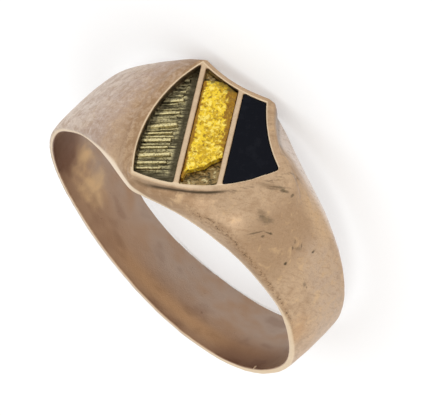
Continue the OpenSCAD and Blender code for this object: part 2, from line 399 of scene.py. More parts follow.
def make_band():
    select_only()
    bpy.ops.mesh.primitive_cylinder_add(vertices=PLACES, radius=hole_r + 1, depth=2, end_fill_type="NOTHING")
    band = new_object("ring_of_rose_gold")
    bpy.ops.object.mode_set(mode="EDIT")
    bpy.ops.mesh.select_mode(type="EDGE")
    bpy.ops.mesh.select_all(action="DESELECT")
    bpy.ops.object.mode_set(mode="OBJECT")
    for edge in band.data.edges:
        low, high = (band.data.vertices[index].co for index in edge.vertices)
        edge.select = abs(high.z - low.z) > 1
    bpy.ops.object.mode_set(mode="EDIT")
    bpy.ops.mesh.subdivide(number_cuts=CUTS)
    bpy.ops.object.mode_set(mode="OBJECT")
    finish_with(band, "SOLIDIFY", thickness=1, offset=-1)
    sections = {}
    for vertex in band.data.vertices:
        around = math.atan2(vertex.co.x, -vertex.co.y)
        place = around - CROWDING * math.sin(around)
        key = round(math.degrees(place), 4)
        if key not in sections:
            sections[key] = section_at(max(-180.0, key))
        section = sections[key]
        v = math.sin(math.pi / 2 * vertex.co.z)
        out = math.hypot(vertex.co.x, vertex.co.y) - hole_r
        height = (section.near - section.far) / 2 + v * (section.near + section.far) / 2
        radius = hole_r + out * (lifted(outer_radius(section, v), place, height, v) - hole_r)
        vertex.co = (radius * math.sin(place), -radius * math.cos(place), height)
    face_outwards(band)
    soften(band, width=0.09, angle=math.radians(50))
    return band


band = make_band()
print("band:", triangles(band), "triangles")

# %% [markdown]
# ## The head
# The head is a block with the shield's outline: a circle is put on the outline, extruded downwards layer by
# layer, and each layer's outline grows or shrinks a little, as the lip of a cast head does. It stops just
# outside the finger hole.

# %% Raise the head
Layer = namedtuple("Layer", "depth long_grow yellow_grow black_grow")
LAYERS = [Layer(*row) for row in (
    (0.00, -0.08, -0.08, -0.08),
    (0.05, -0.02, -0.02, -0.02),
    (0.13, 0.00, 0.00, 0.00),
    (0.50, 0.00, 0.02, 0.06),
    (1.10, 0.00, 0.10, 0.12),
    (FACE_HEIGHT - hole_r - 0.06, -0.05, 0.08, 0.10),
)]


def layered_block(name, layers):
    """A closed block: a filled circle is put on the first outline and extruded to each next one."""
    select_only()
    height, outline = layers[0]
    bpy.ops.mesh.primitive_circle_add(vertices=len(outline), radius=1, fill_type="NGON")
    block = new_object(name)
    for vertex, point in zip(block.data.vertices, outline):
        vertex.co = (*point, height)
    for next_height, next_outline in layers[1:]:
        bpy.ops.object.mode_set(mode="EDIT")
        bpy.ops.mesh.extrude_region_move(TRANSFORM_OT_translate={"value": (0, 0, next_height - height)})
        bpy.ops.object.mode_set(mode="OBJECT")
        moved = [vertex for vertex in block.data.vertices if vertex.select]
        for vertex in moved:
            plan = vertex.co.xy
            nearest = min(range(len(outline)), key=lambda k: (outline[k] - plan).length_squared)
            vertex.co = (*next_outline[nearest], next_height)
        height, outline = next_height, next_outline
    face_outwards(block)
    return block


def make_head():
    layers = []
    for row in LAYERS:
        growths = (row.long_grow, row.yellow_grow, row.black_grow, row.long_grow)
        grown = [lip + grow for lip, grow in zip(LIPS, growths)]
        layers.append((-row.depth, grown_outline(grown, NARROWED)))
    head = layered_block("head", layers)
    carry(head, ON_FACE)
    return head


head = make_head()
top = -min(vertex.co.y for vertex in head.data.vertices)
print("head:", triangles(head), "triangles, top", round(top, 2), "mm up")

# %% [markdown]
# ## The cells
# Each cell is a slice of the inner shield between two lines that run along the bars. The same slice, a
# hair smaller, is what the enamel fills, so one function makes both: a block of the inner outline, cut off
# by two bisections. Cut out of the band and the head it leaves the cell, with the bars standing between. The
# corner at the ear beside the black cell is well rounded, so its upright edge gets a bevel.

# %% Cut the three cells
CELL_DEPTH = 0.55
BAR_TURN = math.radians(-41.6)
BAR_WIDTH = 0.33
BAR_1 = 0.71
BAR_2 = 1.76
BARE = (BAR_1 + BAR_WIDTH / 2, 2 * SHIELD_TIP)
YELLOW = (BAR_WIDTH / 2 - BAR_2, BAR_1 - BAR_WIDTH / 2)
BLACK = (-2 * SHIELD_TIP, -BAR_2 - BAR_WIDTH / 2)
EAR_ROUNDING = 0.34
EAR_REACH = 0.12
ROUNDED_EAR = CORNERS[CROSS_SIDE]
along_bars = Vector((math.cos(BAR_TURN), math.sin(BAR_TURN), 0))
across_bars = Vector((-math.sin(BAR_TURN), math.cos(BAR_TURN), 0))


def round_ear(block):
    """Rounds the upright edge at the ear beside the black cell, where the block reaches it."""
    ear = block.vertex_groups.new(name="ear")
    for vertex in block.data.vertices:
        if (vertex.co.xy - ROUNDED_EAR).length < EAR_REACH:
            ear.add([vertex.index], 1.0, "REPLACE")
    finish_with(block, "BEVEL", width=EAR_ROUNDING, segments=5, limit_method="VGROUP", vertex_group="ear")


def slice_between(name, strip, floor, top, gap=0.0):
    outline = [point * (1 - gap / EAR_UP) for point in grown_outline((0, 0, 0, 0))]
    block = layered_block(name, [(floor, outline), (top, outline)])
    select_only(block)
    low, high = strip
    for distance, clear_below in ((low + gap, True), (high - gap, False)):
        bpy.ops.object.mode_set(mode="EDIT")
        bpy.ops.mesh.select_all(action="SELECT")
        bpy.ops.mesh.bisect(
            plane_co=across_bars * distance,
            plane_no=across_bars,
            use_fill=True,
            clear_inner=clear_below,
            clear_outer=not clear_below,
        )
        bpy.ops.object.mode_set(mode="OBJECT")
    face_outwards(block)
    round_ear(block)
    return block


for name, strip in (("bare", BARE), ("yellow", YELLOW), ("black", BLACK)):
    cutter = slice_between(name + "_cutter", strip, -CELL_DEPTH, CELL_DEPTH)
    carry(cutter, ON_FACE)
    boolean(band, cutter, "DIFFERENCE")
    boolean(head, cutter, "DIFFERENCE")
    bpy.data.objects.remove(cutter)
print("cells cut:", triangles(band) + triangles(head), "triangles")

# %% [markdown]
# ## Melting, roughening and thinning
# Nothing on the old ring is sharp or quite even. Remesh melts a shape into one skin of small even faces, a
# few rounds of Smooth wear its edges down, and Displace moves the skin by clouds of noise. Decimate then
# thins it where it is nearly flat. A piece that is done is shaded smooth and carried to where it lies.

# %% Define the steps that come back
def melt(obj, voxel, rounds):
    finish_with(obj, "REMESH", mode="VOXEL", voxel_size=voxel, adaptivity=0)
    finish_with(obj, "SMOOTH", factor=0.5, iterations=rounds)


def roughen(obj, name, size, strength, depth=2, **settings):
    clouds = bpy.data.textures.new(name, "CLOUDS")
    clouds.noise_scale = size
    clouds.noise_depth = depth
    finish_with(obj, "DISPLACE", texture=clouds, texture_coords="LOCAL", strength=strength, **settings)


def thin_out(obj, most):
    finish_with(obj, "DECIMATE", ratio=min(1.0, most / triangles(obj)))


def lay(obj, matrix):
    select_only(obj)
    bpy.ops.object.shade_smooth()
    carry(obj, matrix)


print("steps of wear ready")

# %% [markdown]
# ## The cut floor of the bare cell
# The engraver cut the floor across with strong strokes, so that the enamel would hold and glitter. What
# stands between the strokes are low ridges, with thin ones between the bold ones. They were cut by hand, so
# a table lists them: the place along the bar, the distance from it, the height, the width, and the slant in
# degrees from square across the cell. One cube per ridge is stretched, its upper edges are drawn in, and
# what is outside the cell is cut off. All of them and a thin slab under them are melted into one, in small
# faces, because the ridges are finer than the rest of the metal. Seeded numbers make the small differences
# between their corners, the same in each run.

# %% Lay the ridges
Ridge = namedtuple("Ridge", "place margin height width slant")
RIDGES = [Ridge(*row) for row in (
    (-2.22, 0.90, 0.17, 0.18, 9), (-2.00, 0.75, 0.06, 0.10, 10),
    (-1.77, 0.68, 0.22, 0.28, 11), (-1.50, 0.80, 0.10, 0.12, 11), (-1.23, 0.57, 0.22, 0.30, 12),
    (-0.98, 0.66, 0.12, 0.14, 11), (-0.74, 0.80, 0.19, 0.22, 11), (-0.50, 0.70, 0.14, 0.16, 11),
    (-0.23, 0.72, 0.20, 0.27, 11), (0.03, 0.62, 0.15, 0.15, 11), (0.29, 0.74, 0.18, 0.18, 12),
    (0.56, 0.66, 0.14, 0.16, 13), (0.87, 0.56, 0.25, 0.34, 15), (1.15, 0.60, 0.10, 0.12, 13),
    (1.40, 0.70, 0.13, 0.16, 12), (1.68, 0.58, 0.19, 0.20, 12), (1.98, 0.66, 0.13, 0.18, 12),
    (2.30, 0.82, 0.15, 0.14, 13), (2.61, 0.54, 0.19, 0.28, 14), (2.92, 0.62, 0.12, 0.14, 13),
    (3.18, 0.52, 0.15, 0.12, 10), (3.42, 0.60, 0.12, 0.14, 10), (3.66, 0.50, 0.15, 0.14, 8),
    (3.96, 0.44, 0.24, 0.30, 5), (4.30, 0.40, 0.20, 0.12, 4),
)]
RIDGE_TOP = 0.5
RIDGE_FOOT = 1.1
RIDGE_SLIDE = 0.05
RIDGE_ROOT = 0.1
UNEVENNESS = 0.2
WALL_GAP = 0.09
SLAB = (-CELL_DEPTH - 0.15, -CELL_DEPTH + 0.02)
SLAB_INTO_WALL = 0.05
ridge_random = random.Random(5)


def make_ridge(row, keeper):
    """One ridge across the cell. Its top is narrower than its foot."""
    select_only()
    bpy.ops.mesh.primitive_cube_add(size=1)
    ridge = new_object("ridge")
    for vertex in ridge.data.vertices:
        upper = vertex.co.z > 0
        narrow = RIDGE_TOP if upper else RIDGE_FOOT
        slide = RIDGE_SLIDE if upper and vertex.co.y < 0 else 0.0
        tilt = 1 + ridge_random.uniform(-UNEVENNESS, UNEVENNESS)
        vertex.co = (
            vertex.co.x * row.width * narrow * tilt,
            (vertex.co.y + 0.5) * 2 * EAR_OUT + slide,
            row.height * tilt if upper else -RIDGE_ROOT,
        )
    turn = BAR_TURN + math.radians(row.slant)
    foot = along_bars * row.place + across_bars * (BARE[0] + row.margin)
    carry(ridge, Matrix.Translation((foot.x, foot.y, -CELL_DEPTH)) @ Matrix.Rotation(turn, 4, "Z"))
    boolean(ridge, keeper, "INTERSECT")
    return ridge


def make_cut_floor():
    keeper = slice_between("keeper", BARE, -2 * CELL_DEPTH, 0.0, gap=WALL_GAP)
    ridges = [make_ridge(row, keeper) for row in RIDGES]
    for missed in [ridge for ridge in ridges if not ridge.data.vertices]:
        ridges.remove(missed)
        bpy.data.objects.remove(missed)
    bpy.data.objects.remove(keeper)
    floor = slice_between("cut_floor", BARE, *SLAB, gap=-SLAB_INTO_WALL)
    join(floor, *ridges)
    melt(floor, voxel=0.028, rounds=2)
    roughen(floor, "strokes", size=0.12, strength=0.09, direction="Z")
    thin_out(floor, most=46000)
    carry(floor, ON_FACE)
    return floor, len(ridges)


cut_floor, ridge_count = make_cut_floor()
print("ridges:", ridge_count, "triangles:", triangles(cut_floor))

# %% [markdown]
# ## Years of wear
# The band and the head are melted into one worn skin. Large faint clouds give it the uneven surface that
# filing and knocks leave, and the finely cut floor joins it, so that the whole casting is one mesh. Each
# point keeps how far it is below the near rim, because the finish paints a highlight on that rim by it.

# %% Melt the metal parts into one worn body
def measure_rims(body):
    """Writes on each vertex how far it is below the near rim, for the finish to read."""
    below = body.data.attributes.new("below_near_rim", "FLOAT", "POINT")
    near = {}
    for vertex in body.data.vertices:
        place = round(math.degrees(math.atan2(vertex.co.x, -vertex.co.y)) * 2) / 2
        if place not in near:
            near[place] = section_at(place).near
        below.data[vertex.index].value = near[place] - vertex.co.z


join(band, head)
melt(band, voxel=0.052, rounds=5)
roughen(band, "filing", size=1.6, strength=0.05)
thin_out(band, most=140000)
join(band, cut_floor)
measure_rims(band)
lay(band, AS_IT_LIES)
ring_of_rose_gold = band
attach(ring_of_rose_gold, "root")
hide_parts("ring_body")
print("worn body:", triangles(band), "triangles")

# %% [markdown]
# ## The yellow enamel
# Clear yellow enamel was melted over crumpled foil, and both ends have since broken away. The filling is the
# cell's slice, cut to the ragged outline of what is left and melted. Its upper side alone is then crumpled
# twice: coarsely for the folds and finely for the pitted skin. The outline is listed along and across the
# bars, and a hair of air is left all round, so that glass and metal don't cut through each other.

# %% Fill the yellow cell
ENAMEL_GAP = 0.02
YELLOW_BELOW = 0.10
CRUMPLES = ((0.42, 0.15), (0.16, 0.07))
CRUMPLE_MIDDLE = 0.62
YELLOW_LEFT = (
    (-2.88, 0.80), (-2.86, 0.38), (-2.26, 0.28), (-2.16, -0.04), (-2.00, -0.32), (-1.88, -0.66),
    (-1.56, -0.90), (-1.34, -1.18), (-1.10, -1.50), (-1.00, -2.30), (3.30, -2.30), (3.44, -1.50),
    (3.78, -1.00), (4.05, -0.55), (4.02, 0.12), (3.92, 0.80),
)


def make_yellow_enamel():
    filling = slice_between("yellow_enamel_left", YELLOW, ENAMEL_GAP - CELL_DEPTH, -YELLOW_BELOW, ENAMEL_GAP)
    outline = [(along_bars * place + across_bars * across).xy for place, across in YELLOW_LEFT]
    keeper = layered_block("keeper", [(-2 * CELL_DEPTH, outline), (CELL_DEPTH, outline)])
    boolean(filling, keeper, "INTERSECT")
    bpy.data.objects.remove(keeper)
    melt(filling, voxel=0.03, rounds=6)
    upper = filling.vertex_groups.new(name="upper")
    for vertex in filling.data.vertices:
        share = (vertex.co.z + CELL_DEPTH) / (CELL_DEPTH - YELLOW_BELOW)
        upper.add([vertex.index], max(0.0, min(1.0, 2 * share - 1)), "REPLACE")
    on_top = {"direction": "Z", "mid_level": CRUMPLE_MIDDLE, "vertex_group": "upper"}
    for size, strength in CRUMPLES:
        roughen(filling, "crumple", size, strength, depth=1, **on_top)
    lay(filling, AS_IT_LIES @ ON_FACE)
    return filling


yellow_enamel_left = make_yellow_enamel()
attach(yellow_enamel_left, "root")
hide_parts("yellow_enamel")
print("yellow enamel:", triangles(yellow_enamel_left), "triangles")

# %% [markdown]
# ## The black enamel
# The black cell is still full. Its filling is nearly level with the lip, and its edge turns down where it
# meets the metal, as fired enamel does. A narrow bevel starts that soft edge, and melting rounds it.

# %% Fill the black cell
BLACK_BELOW = 0.03


def make_black_enamel():
    filling = slice_between("black_enamel_fill", BLACK, ENAMEL_GAP - CELL_DEPTH, -BLACK_BELOW, ENAMEL_GAP)
    soften(filling, width=0.05, angle=math.radians(60))
    melt(filling, voxel=0.05, rounds=4)
    lay(filling, AS_IT_LIES @ ON_FACE)
    return filling


black_enamel_fill = make_black_enamel()
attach(black_enamel_fill, "root")
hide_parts("black_enamel")
print("black enamel:", triangles(black_enamel_fill), "triangles")

# %% [markdown]
# ## Writing shaders as sums
# A pattern is a sum of numbers that change over the surface, so it reads best as one. Value wraps a socket,
# and Python's own operators on it add the Math nodes. Finish holds one material and adds any node by one
# method, and cover lays colour over colour.

# %% Define the two shader classes
class Value:
    def __init__(self, finish, socket):
        self.finish = finish
        self.socket = socket

    def math(self, operation, *others):
        return self.finish.add("ShaderNodeMath", {"operation": operation}, (self, *others))

    def __add__(self, other):
        return self.math("ADD", other)

    __radd__ = __add__

    def __mul__(self, other):
        return self.math("MULTIPLY", other)

    __rmul__ = __mul__

    def __sub__(self, other):
        return self.math("SUBTRACT", other)

    def __rsub__(self, other):
        return self.finish.add("ShaderNodeMath", {"operation": "SUBTRACT"}, (other, self))

    def __abs__(self):
        return self.math("ABSOLUTE")

    def most(self, *others):
        """The largest of this value and the others."""
        largest = self
        for other in others:
            largest = largest.math("MAXIMUM", other)
        return largest

    def step(self, start, end):
        """0 at start and 1 at end, eased between them; start may be the larger one."""
        settings = {"interpolation_type": "SMOOTHSTEP"}
        if start < end:
            return self.finish.add("ShaderNodeMapRange", settings, {0: self, 1: start, 2: end})
        return self.finish.add("ShaderNodeMapRange", settings, {0: self, 1: end, 2: start, 3: 1, 4: 0})

    def between(self, low, inner_low, inner_high, high):
        """1 between the two inner numbers, eased to 0 at the outer ones."""
        return self.step(low, inner_low) * self.step(high, inner_high)

    def spot(self, middle, half):
        """1 at the middle value, 0 further from it than half."""
        return abs(self - middle).step(half, 0)


class Finish:
    def __init__(self, name):
        self.material = bpy.data.materials.new(name)
        self.material.use_nodes = True
        self.nodes = self.material.node_tree.nodes
        self.links = self.material.node_tree.links
        self.shader = self.nodes["Principled BSDF"]
        self.object_point = self.add("ShaderNodeTexCoord", output="Object")

    def add(self, kind, settings=None, inputs=None, output=0):
        """Adds a node, first its settings, then the values or links of its sockets. Returns one output."""
        node = self.nodes.new(kind)
        for name, value in (settings or {}).items():
            setattr(node, name, value)
        pairs = inputs.items() if isinstance(inputs, dict) else enumerate(inputs or ())
        for key, value in pairs:
            self.feed(node.inputs[key], value)
        return Value(self, node.outputs[output])

    def feed(self, socket, value):
        if isinstance(value, Value):
            self.links.new(value.socket, socket)
        else:
            socket.default_value = value

    def point_in(self, matrix):
        """The surface point in the frame that this matrix carries to the object."""
        place, turn, size = matrix.inverted().decompose()
        inputs = {"Vector": self.object_point, "Location": place, "Rotation": turn.to_euler(), "Scale": size}
        return self.add("ShaderNodeMapping", None, inputs)

    def parts(self, point):
        separate = self.add("ShaderNodeSeparateXYZ", None, (point,)).socket.node
        return [Value(self, output) for output in separate.outputs]

    def stretched(self, point, scale, turn=(0, 0, 0)):
        return self.add("ShaderNodeMapping", None, {"Vector": point, "Rotation": turn, "Scale": scale})

    def noise(self, point, scale, detail=2.0, roughness=0.5, distortion=0.0):
        inputs = {"Vector": point, "Scale": scale, "Detail": detail, "Roughness": roughness}
        return self.add("ShaderNodeTexNoise", None, {**inputs, "Distortion": distortion})

    def scratches(self, point, turn):
        """Thin lines along one direction, broken off here and there."""
        lines = self.noise(self.stretched(point, (14, 0.6, 14), turn), 1.0, 2, 0.5, 0.2)
        return lines.step(0.66, 0.74) * self.noise(point, 0.8, 2).step(0.4, 0.6)

    def length(self, vector):
        return self.add("ShaderNodeVectorMath", {"operation": "LENGTH"}, (vector,), output="Value")

    def cells(self, point, scale):
        return self.add("ShaderNodeTexVoronoi", None, {"Vector": point, "Scale": scale})

    def mix(self, share, first, second):
        """A colour between two others. A Mix node has its colours in sockets 6 and 7 and gives one in 2."""
        return self.add("ShaderNodeMix", {"data_type": "RGBA"}, {0: share, 6: first, 7: second}, output=2)

    def cover(self, colour, *coats):
        """A colour with others laid over it, one by one, each with its own share."""
        for share, coat in coats:
            colour = self.mix(share, colour, coat)
        return colour

    def bump(self, height, distance, strength):
        """Distance is how far the height 1 stands out, in metres."""
        inputs = {"Height": height, "Distance": distance, "Strength": strength}
        return self.add("ShaderNodeBump", None, inputs)

    def set(self, **sockets):
        for name, value in sockets.items():
            self.feed(self.shader.inputs[name.replace("_", " ")], value)

    def put_on(self, obj):
        obj.data.materials.clear()
        obj.data.materials.append(self.material)


print("shader classes ready")

# %% [markdown]
# ## Rose gold: where a point lies
# Low-carat rose gold goes brown in patches and pale and creamy where it rubs. It is also painted nearly black
# in the crease under the lip across all cells, which is painted shade, and painted lighter in a few places as
# painted highlights. Each stain, painted shade and painted highlight has its own place, so the shader first
# measures where a point lies: its place round the ring in degrees, its height between the rims, its place in
# the shield's plane, how far it is past each side of the head and past the cells, and how far from a bar. How
# far it is below the near rim was written on the mesh. Left and right are as in the picture.

# %% Measure a point of the ring
EAR_CUT = 0.42 * EAR_ROUNDING
gold = Finish("worn_rose_gold")
ring_point = gold.point_in(AS_IT_LIES)
x, y, z = gold.parts(ring_point)
u, v, w = gold.parts(gold.point_in(AS_IT_LIES @ ON_FACE))
radius = (x * x + y * y).math("SQRT")
place = x.math("ARCTAN2", 0 - y) * math.degrees(1)
across = u * across_bars.x + v * across_bars.y
along = u * along_bars.x + v * along_bars.y
from_bar = abs(across - BAR_1).math("MINIMUM", abs(across + BAR_2))
below_rim = gold.add("ShaderNodeAttribute", {"attribute_name": "below_near_rim"}, output="Fac")

past_inner = []
for side in range(4):
    centre, side_radius = side_circle(side)[:2]
    du = u - centre.x
    dv = v - centre.y
    past_inner.append((du * du + dv * dv).math("SQRT") * math.copysign(1, side_radius) - side_radius)
past = [inner - lip for inner, lip in zip(past_inner, LIPS)]
past[CROSS_SIDE] = past[CROSS_SIDE] + NARROWED * v.step(*NARROWING)
past_bare = past[BARE_SIDE]
past_black = past[BLACK_SIDE]
past_cross = past[CROSS_SIDE]
past_head = past_bare.most(*past[1:])
ear = ROUNDED_EAR.normalized()
past_cells = (u * ear.x + v * ear.y - ROUNDED_EAR.length + EAR_CUT).most(*past_inner)

front = w.step(-2.2, -1.6)
off_back = abs(place).step(180, 135)
left = place.step(6, 30) * off_back
right = place.step(-6, -16) * off_back
print("nodes that measure a point:", len(gold.nodes))

# %% [markdown]
# ## Rose gold: the patterns
# Clouds of several sizes make the mottling. The right shoulder was once brushed in one direction, and the
# dirt stayed in those fine lines, so one pattern is stretched along them, in a frame turned on the surface.

# %% Make the patterns
BRUSHED = 40


def frame_at(place, radius, height, turn):
    """The frame of a point of the band: x round the ring, y inwards and z up, turned on the surface."""
    a = math.radians(place)
    middle = Matrix.Translation((radius * math.sin(a), -radius * math.cos(a), height))
    return AS_IT_LIES @ middle @ Matrix.Rotation(a, 4, "Z") @ Matrix.Rotation(math.radians(-turn), 4, "Y")


patches = gold.noise(ring_point, 0.40, 4, 0.55)
mottle = gold.noise(ring_point, 1.5, 5, 0.62, 0.5)
blotches = gold.noise(ring_point, 2.6, 4, 0.7, 0.6)
speckle = gold.noise(ring_point, 5.0, 4, 0.75)
grain = gold.noise(ring_point, 11.0, 3, 0.7)
brushed_point = gold.point_in(frame_at(-38, 12, 1, BRUSHED))
brushed = gold.noise(gold.stretched(brushed_point, (1.6, 1.6, 8.0)), 1.0, 4, 0.7)
uneven = speckle * 0.6 + mottle * 0.4
scratches = gold.scratches(ring_point, (0.5, 0.3, 0.7)).most(gold.scratches(ring_point, (1.2, 0.1, -0.5)))
print("with the patterns:", len(gold.nodes), "nodes")

# %% [markdown]
# ## Rose gold: the outside
# The colours are laid one over the other, and each has a share that its place and a pattern give together.
# The left shoulder is greyer, with pale, brown and lilac blotches. The right one is browner beside the head,
# which is painted shade, orange lower down and golden towards the far rim, and its far flank is painted pale
# grey as a painted highlight. Both are browner close to the two long lips; beside the lip along the bare cell
# that is painted shade.

# %% Colour the outside
TAN = (0.55, 0.385, 0.245, 1)
PINK_GREY = (0.44, 0.32, 0.265, 1)
PALE = (0.66, 0.56, 0.48, 1)
BROWN = (0.36, 0.225, 0.125, 1)
ORANGE = (0.56, 0.33, 0.16, 1)
GOLDEN = (0.70, 0.47, 0.25, 1)
LILAC_GREY = (0.50, 0.385, 0.335, 1)
# Painted highlight colour for the far flank of the right shoulder.
PAINTED_HIGHLIGHT_GREY = (0.84, 0.76, 0.70, 1)
# Tarnish colour, also used for painted shade in the crease under the lip and on the flank.
TARNISH_AND_SHADE = (0.045, 0.032, 0.022, 1)

towards_back = place.step(14, 44) * off_back * 0.85
# Painted shade: the right shoulder beside the head is painted browner.
shade = place.between(-62, -50, -40, -31) * z.step(-1.6, -0.6) * 0.7
low = place.step(-62, -80) * z.step(0.2, 1.8) * off_back
lilac = left * place.step(70, 30) * mottle.step(0.42, 0.60) * (0.30 + 0.5 * speckle)
near_head = left * (0.35 + 0.65 * place.step(100, 55))
# Painted shade: the metal beside the lip along the bare cell is painted browner.
beside = (past_bare + (mottle - 0.5) * 1.8 - 0.4 * u.step(1.6, 3.6)).step(1.1, 0.1)
beside = beside * past_bare.step(-0.32, -0.16) * front
below_lip = past_cross.between(-0.02, 0.1, 0.2, 1.5) * place.between(-28, -14, 2, 8) * front
blush = place.step(-46, -62) * z.between(-2.4, -1.4, 0.0, 1.2) * mottle.step(0.35, 0.65)
golden_edge = place.between(-66, -54, -44, -34) * z.step(-0.8, -1.8) * mottle.step(0.3, 0.6)
# Painted highlight: the far flank of the right shoulder is painted pale grey.
far_flank_highlight = z.step(-2.0, -2.7) * w.step(-0.45, -0.8) * place.between(-95, -70, -10, 2)
colour = gold.cover(
    TAN,
    (left * patches.step(0.35, 0.60), PINK_GREY),
    (towards_back * speckle.step(0.15, 0.55), PALE),
    ((mottle.step(0.44, 0.68) * 0.45).most(shade * speckle.step(0.2, 0.5)), BROWN),
    (low * patches.step(0.62, 0.38) * 0.6, ORANGE),
    (left * uneven.step(0.50, 0.60) * 0.50, BROWN),
    (left * uneven.step(0.48, 0.38) * 0.50, PALE),
    (lilac, LILAC_GREY),
    (near_head * blotches.step(0.50, 0.62) * 0.45, BROWN),
    (near_head * blotches.step(0.46, 0.34) * 0.60, PALE),
    (beside * (0.25 + blotches.step(0.40, 0.60) * 0.75), BROWN),
    (below_lip * mottle.step(0.20, 0.55) * 0.95, BROWN),
    (blush * 0.25, PALE),
    (golden_edge * 0.55, GOLDEN),
    (far_flank_highlight * 0.85, PAINTED_HIGHLIGHT_GREY),
    (abs(speckle - 0.5).step(0.0, 0.18) * 0.30, BROWN),
    (right * brushed.step(0.50, 0.66) * 0.45, BROWN),
    (right * mottle.step(0.46, 0.30) * 0.35, GOLDEN),
    (grain.step(0.52, 0.66) * 0.16, TARNISH_AND_SHADE),
)
print("with the outside:", len(gold.nodes), "nodes")

# %% [markdown]
# ## Rose gold: the lips and bars
# Hands rub what stands highest, so the edge of the cells, the tops of the bars and the lip across all cells
# are creamy, and both edges of a bar are painted brown as painted shade.

# %% Rub the lips and bars
CREAM = (0.82, 0.66, 0.46, 1)
on_face = w.step(-0.16, -0.06) * front
cell_line = past_cells.spot(0.035, 0.075)
bars = from_bar.step(BAR_WIDTH / 2 + 0.06, BAR_WIDTH / 2 - 0.02) * past_cells.step(0.1, 0.0) * 0.45
cross_lip = past_cross.between(-0.46, -0.40, -0.14, 0.0) * past_bare.step(-0.10, -0.25)
cross_lip = cross_lip * u.step(-4.2, -2.4) * past_cells.step(-0.05, 0.0) * 0.9
# Painted shade: both edges of each bar are painted brown.
bar_edge_shade = from_bar.spot(BAR_WIDTH / 2, 0.09) * past_cells.step(0.0, -0.1) * on_face
colour = gold.cover(
    colour,
    (on_face * cell_line.most(bars, cross_lip) * (0.55 + 0.5 * speckle), CREAM),
    (bar_edge_shade * (0.25 + 0.8 * mottle), BROWN),
)
print("with the lips and bars:", len(gold.nodes), "nodes")

# %% [markdown]
# ## Rose gold: marks, dirt and painted shade
# The single marks of the right shoulder are listed with their place round the ring in degrees, their radius
# and height, their half sizes along and across in millimetres, how dark they are, and their turn on the
# surface. The brushed lines fray their edges. Dirt also sits in pores along the near rim. The crease under
# the lip across all cells, a thin line where that lip meets the shoulder flush, and a line on the flank below
# the black cell are painted dark as painted shade.

# %% Set the marks
# Smudge colour, also used for a painted shadow line under the lip.
SMUDGE_AND_SHADE = (0.085, 0.062, 0.035, 1)
Mark = namedtuple("Mark", "place radius height along across dark turn")
MARKS = [Mark(*row) for row in (
    (-32.4, 12.7, -0.05, 0.50, 0.06, 0.55, 44),
    (-32.2, 12.7, 0.16, 0.32, 0.05, 0.40, 44),
    (-33.7, 12.7, -0.13, 0.16, 0.11, 0.70, BRUSHED),
    (-34.7, 12.7, -0.28, 0.16, 0.06, 0.60, BRUSHED),
    (-36.7, 12.5, -0.51, 0.08, 0.08, 0.65, 0),
    (-30.2, 12.7, 0.35, 0.50, 0.12, 0.25, BRUSHED),
    (-36.9, 12.1, 1.55, 0.46, 0.20, 0.55, BRUSHED),
    (-34.9, 12.3, 1.56, 0.30, 0.14, 0.38, BRUSHED),
    (-38.3, 11.7, 2.33, 0.38, 0.04, 0.60, 62),
    (-40.9, 11.5, 1.71, 0.22, 0.04, 0.65, 34),
    (-41.6, 11.5, 1.59, 0.09, 0.06, 0.75, BRUSHED),
    (-40.6, 11.5, 2.08, 0.10, 0.06, 0.75, BRUSHED),
    (-49.6, 10.9, 0.40, 0.12, 0.05, 0.50, -27),
    (-50.9, 10.9, 0.72, 0.14, 0.05, 0.65, -27),
    (-52.6, 10.8, 0.12, 0.14, 0.05, 0.60, -27),
    (-52.6, 10.8, 0.40, 0.26, 0.12, 0.35, BRUSHED),
    (-57.9, 10.6, -0.48, 0.13, 0.07, 0.90, 75),
    (-53.6, 10.7, 1.52, 0.08, 0.08, 0.95, 0),
    (-66.2, 10.3, 0.89, 0.16, 0.12, 0.50, 0),
    (-67.8, 10.3, 0.82, 0.07, 0.05, 0.60, 0),
)]


def from_mark(mark):
    """The distance from a mark's middle, 1 on its edge."""
    point = gold.point_in(frame_at(mark.place, mark.radius, mark.height, mark.turn))
    return gold.length(gold.stretched(point, (1 / mark.along, 1, 1 / mark.across)))


near_pores = below_rim.spot(0.17, 0.20) * place.between(-88, -72, -26, -16)
frayed = (brushed - 0.5) * 3.2 + (grain - 0.5) * 1.2
# Painted shade: the crease under the lip across all cells is painted nearly black.
crease_reach = (0.4 * u.step(0.0, -0.6) + 0.6 * u.step(-0.6, -1.6)) * u.step(-4.2, -3.6)
crease_shade_under_lip = past_cross.spot(0.07, 0.13) * w.step(-0.02, -0.06) * front * crease_reach
# Painted shadow: a thin dark line where that lip meets the shoulder flush.
flush_shade_line = past_cross.spot(0.08, 0.11) * u.between(-4.25, -3.7, -3.3, -2.7) * front
loose_dirt = past_cross.spot(0.10, 0.22) * brushed.step(0.46, 0.60) * u.step(-1.8, -2.8) * front
# Painted shade: a dark line on the flank below the black cell.
flank_shade_line = past_black.spot(0.12, 0.22) * w.step(-0.3, -0.5) * past_cross.step(0.8, 0.1) * front
colour = gold.cover(
    colour,
    (near_pores * speckle.step(0.40, 0.54) * 0.85, BROWN),
    (near_pores * speckle.step(0.50, 0.60) * grain.step(0.44, 0.58) * 0.8, TARNISH_AND_SHADE),
    *(((from_mark(mark) + frayed).step(1.7, 0.3) * mark.dark, SMUDGE_AND_SHADE) for mark in MARKS),
    ((crease_shade_under_lip * 0.9).most(flank_shade_line * 0.35), TARNISH_AND_SHADE),
    ((loose_dirt * 0.5).most(flush_shade_line * 0.6), SMUDGE_AND_SHADE),
)
print("marks:", len(MARKS), "and", len(gold.nodes), "nodes")

# %% [markdown]
# ## Rose gold: the floor of the cells
# Where the enamel is gone the cut floor is olive and grey-green. The tops of the ridges and some strokes
# between them catch the light as painted highlights, less beside the wall, and a strip along the bar is
# smoother and painted darker as painted shade. At both ends of the yellow cell the floor is brown, with olive
# hollows and a few bright flecks, which are painted glints.

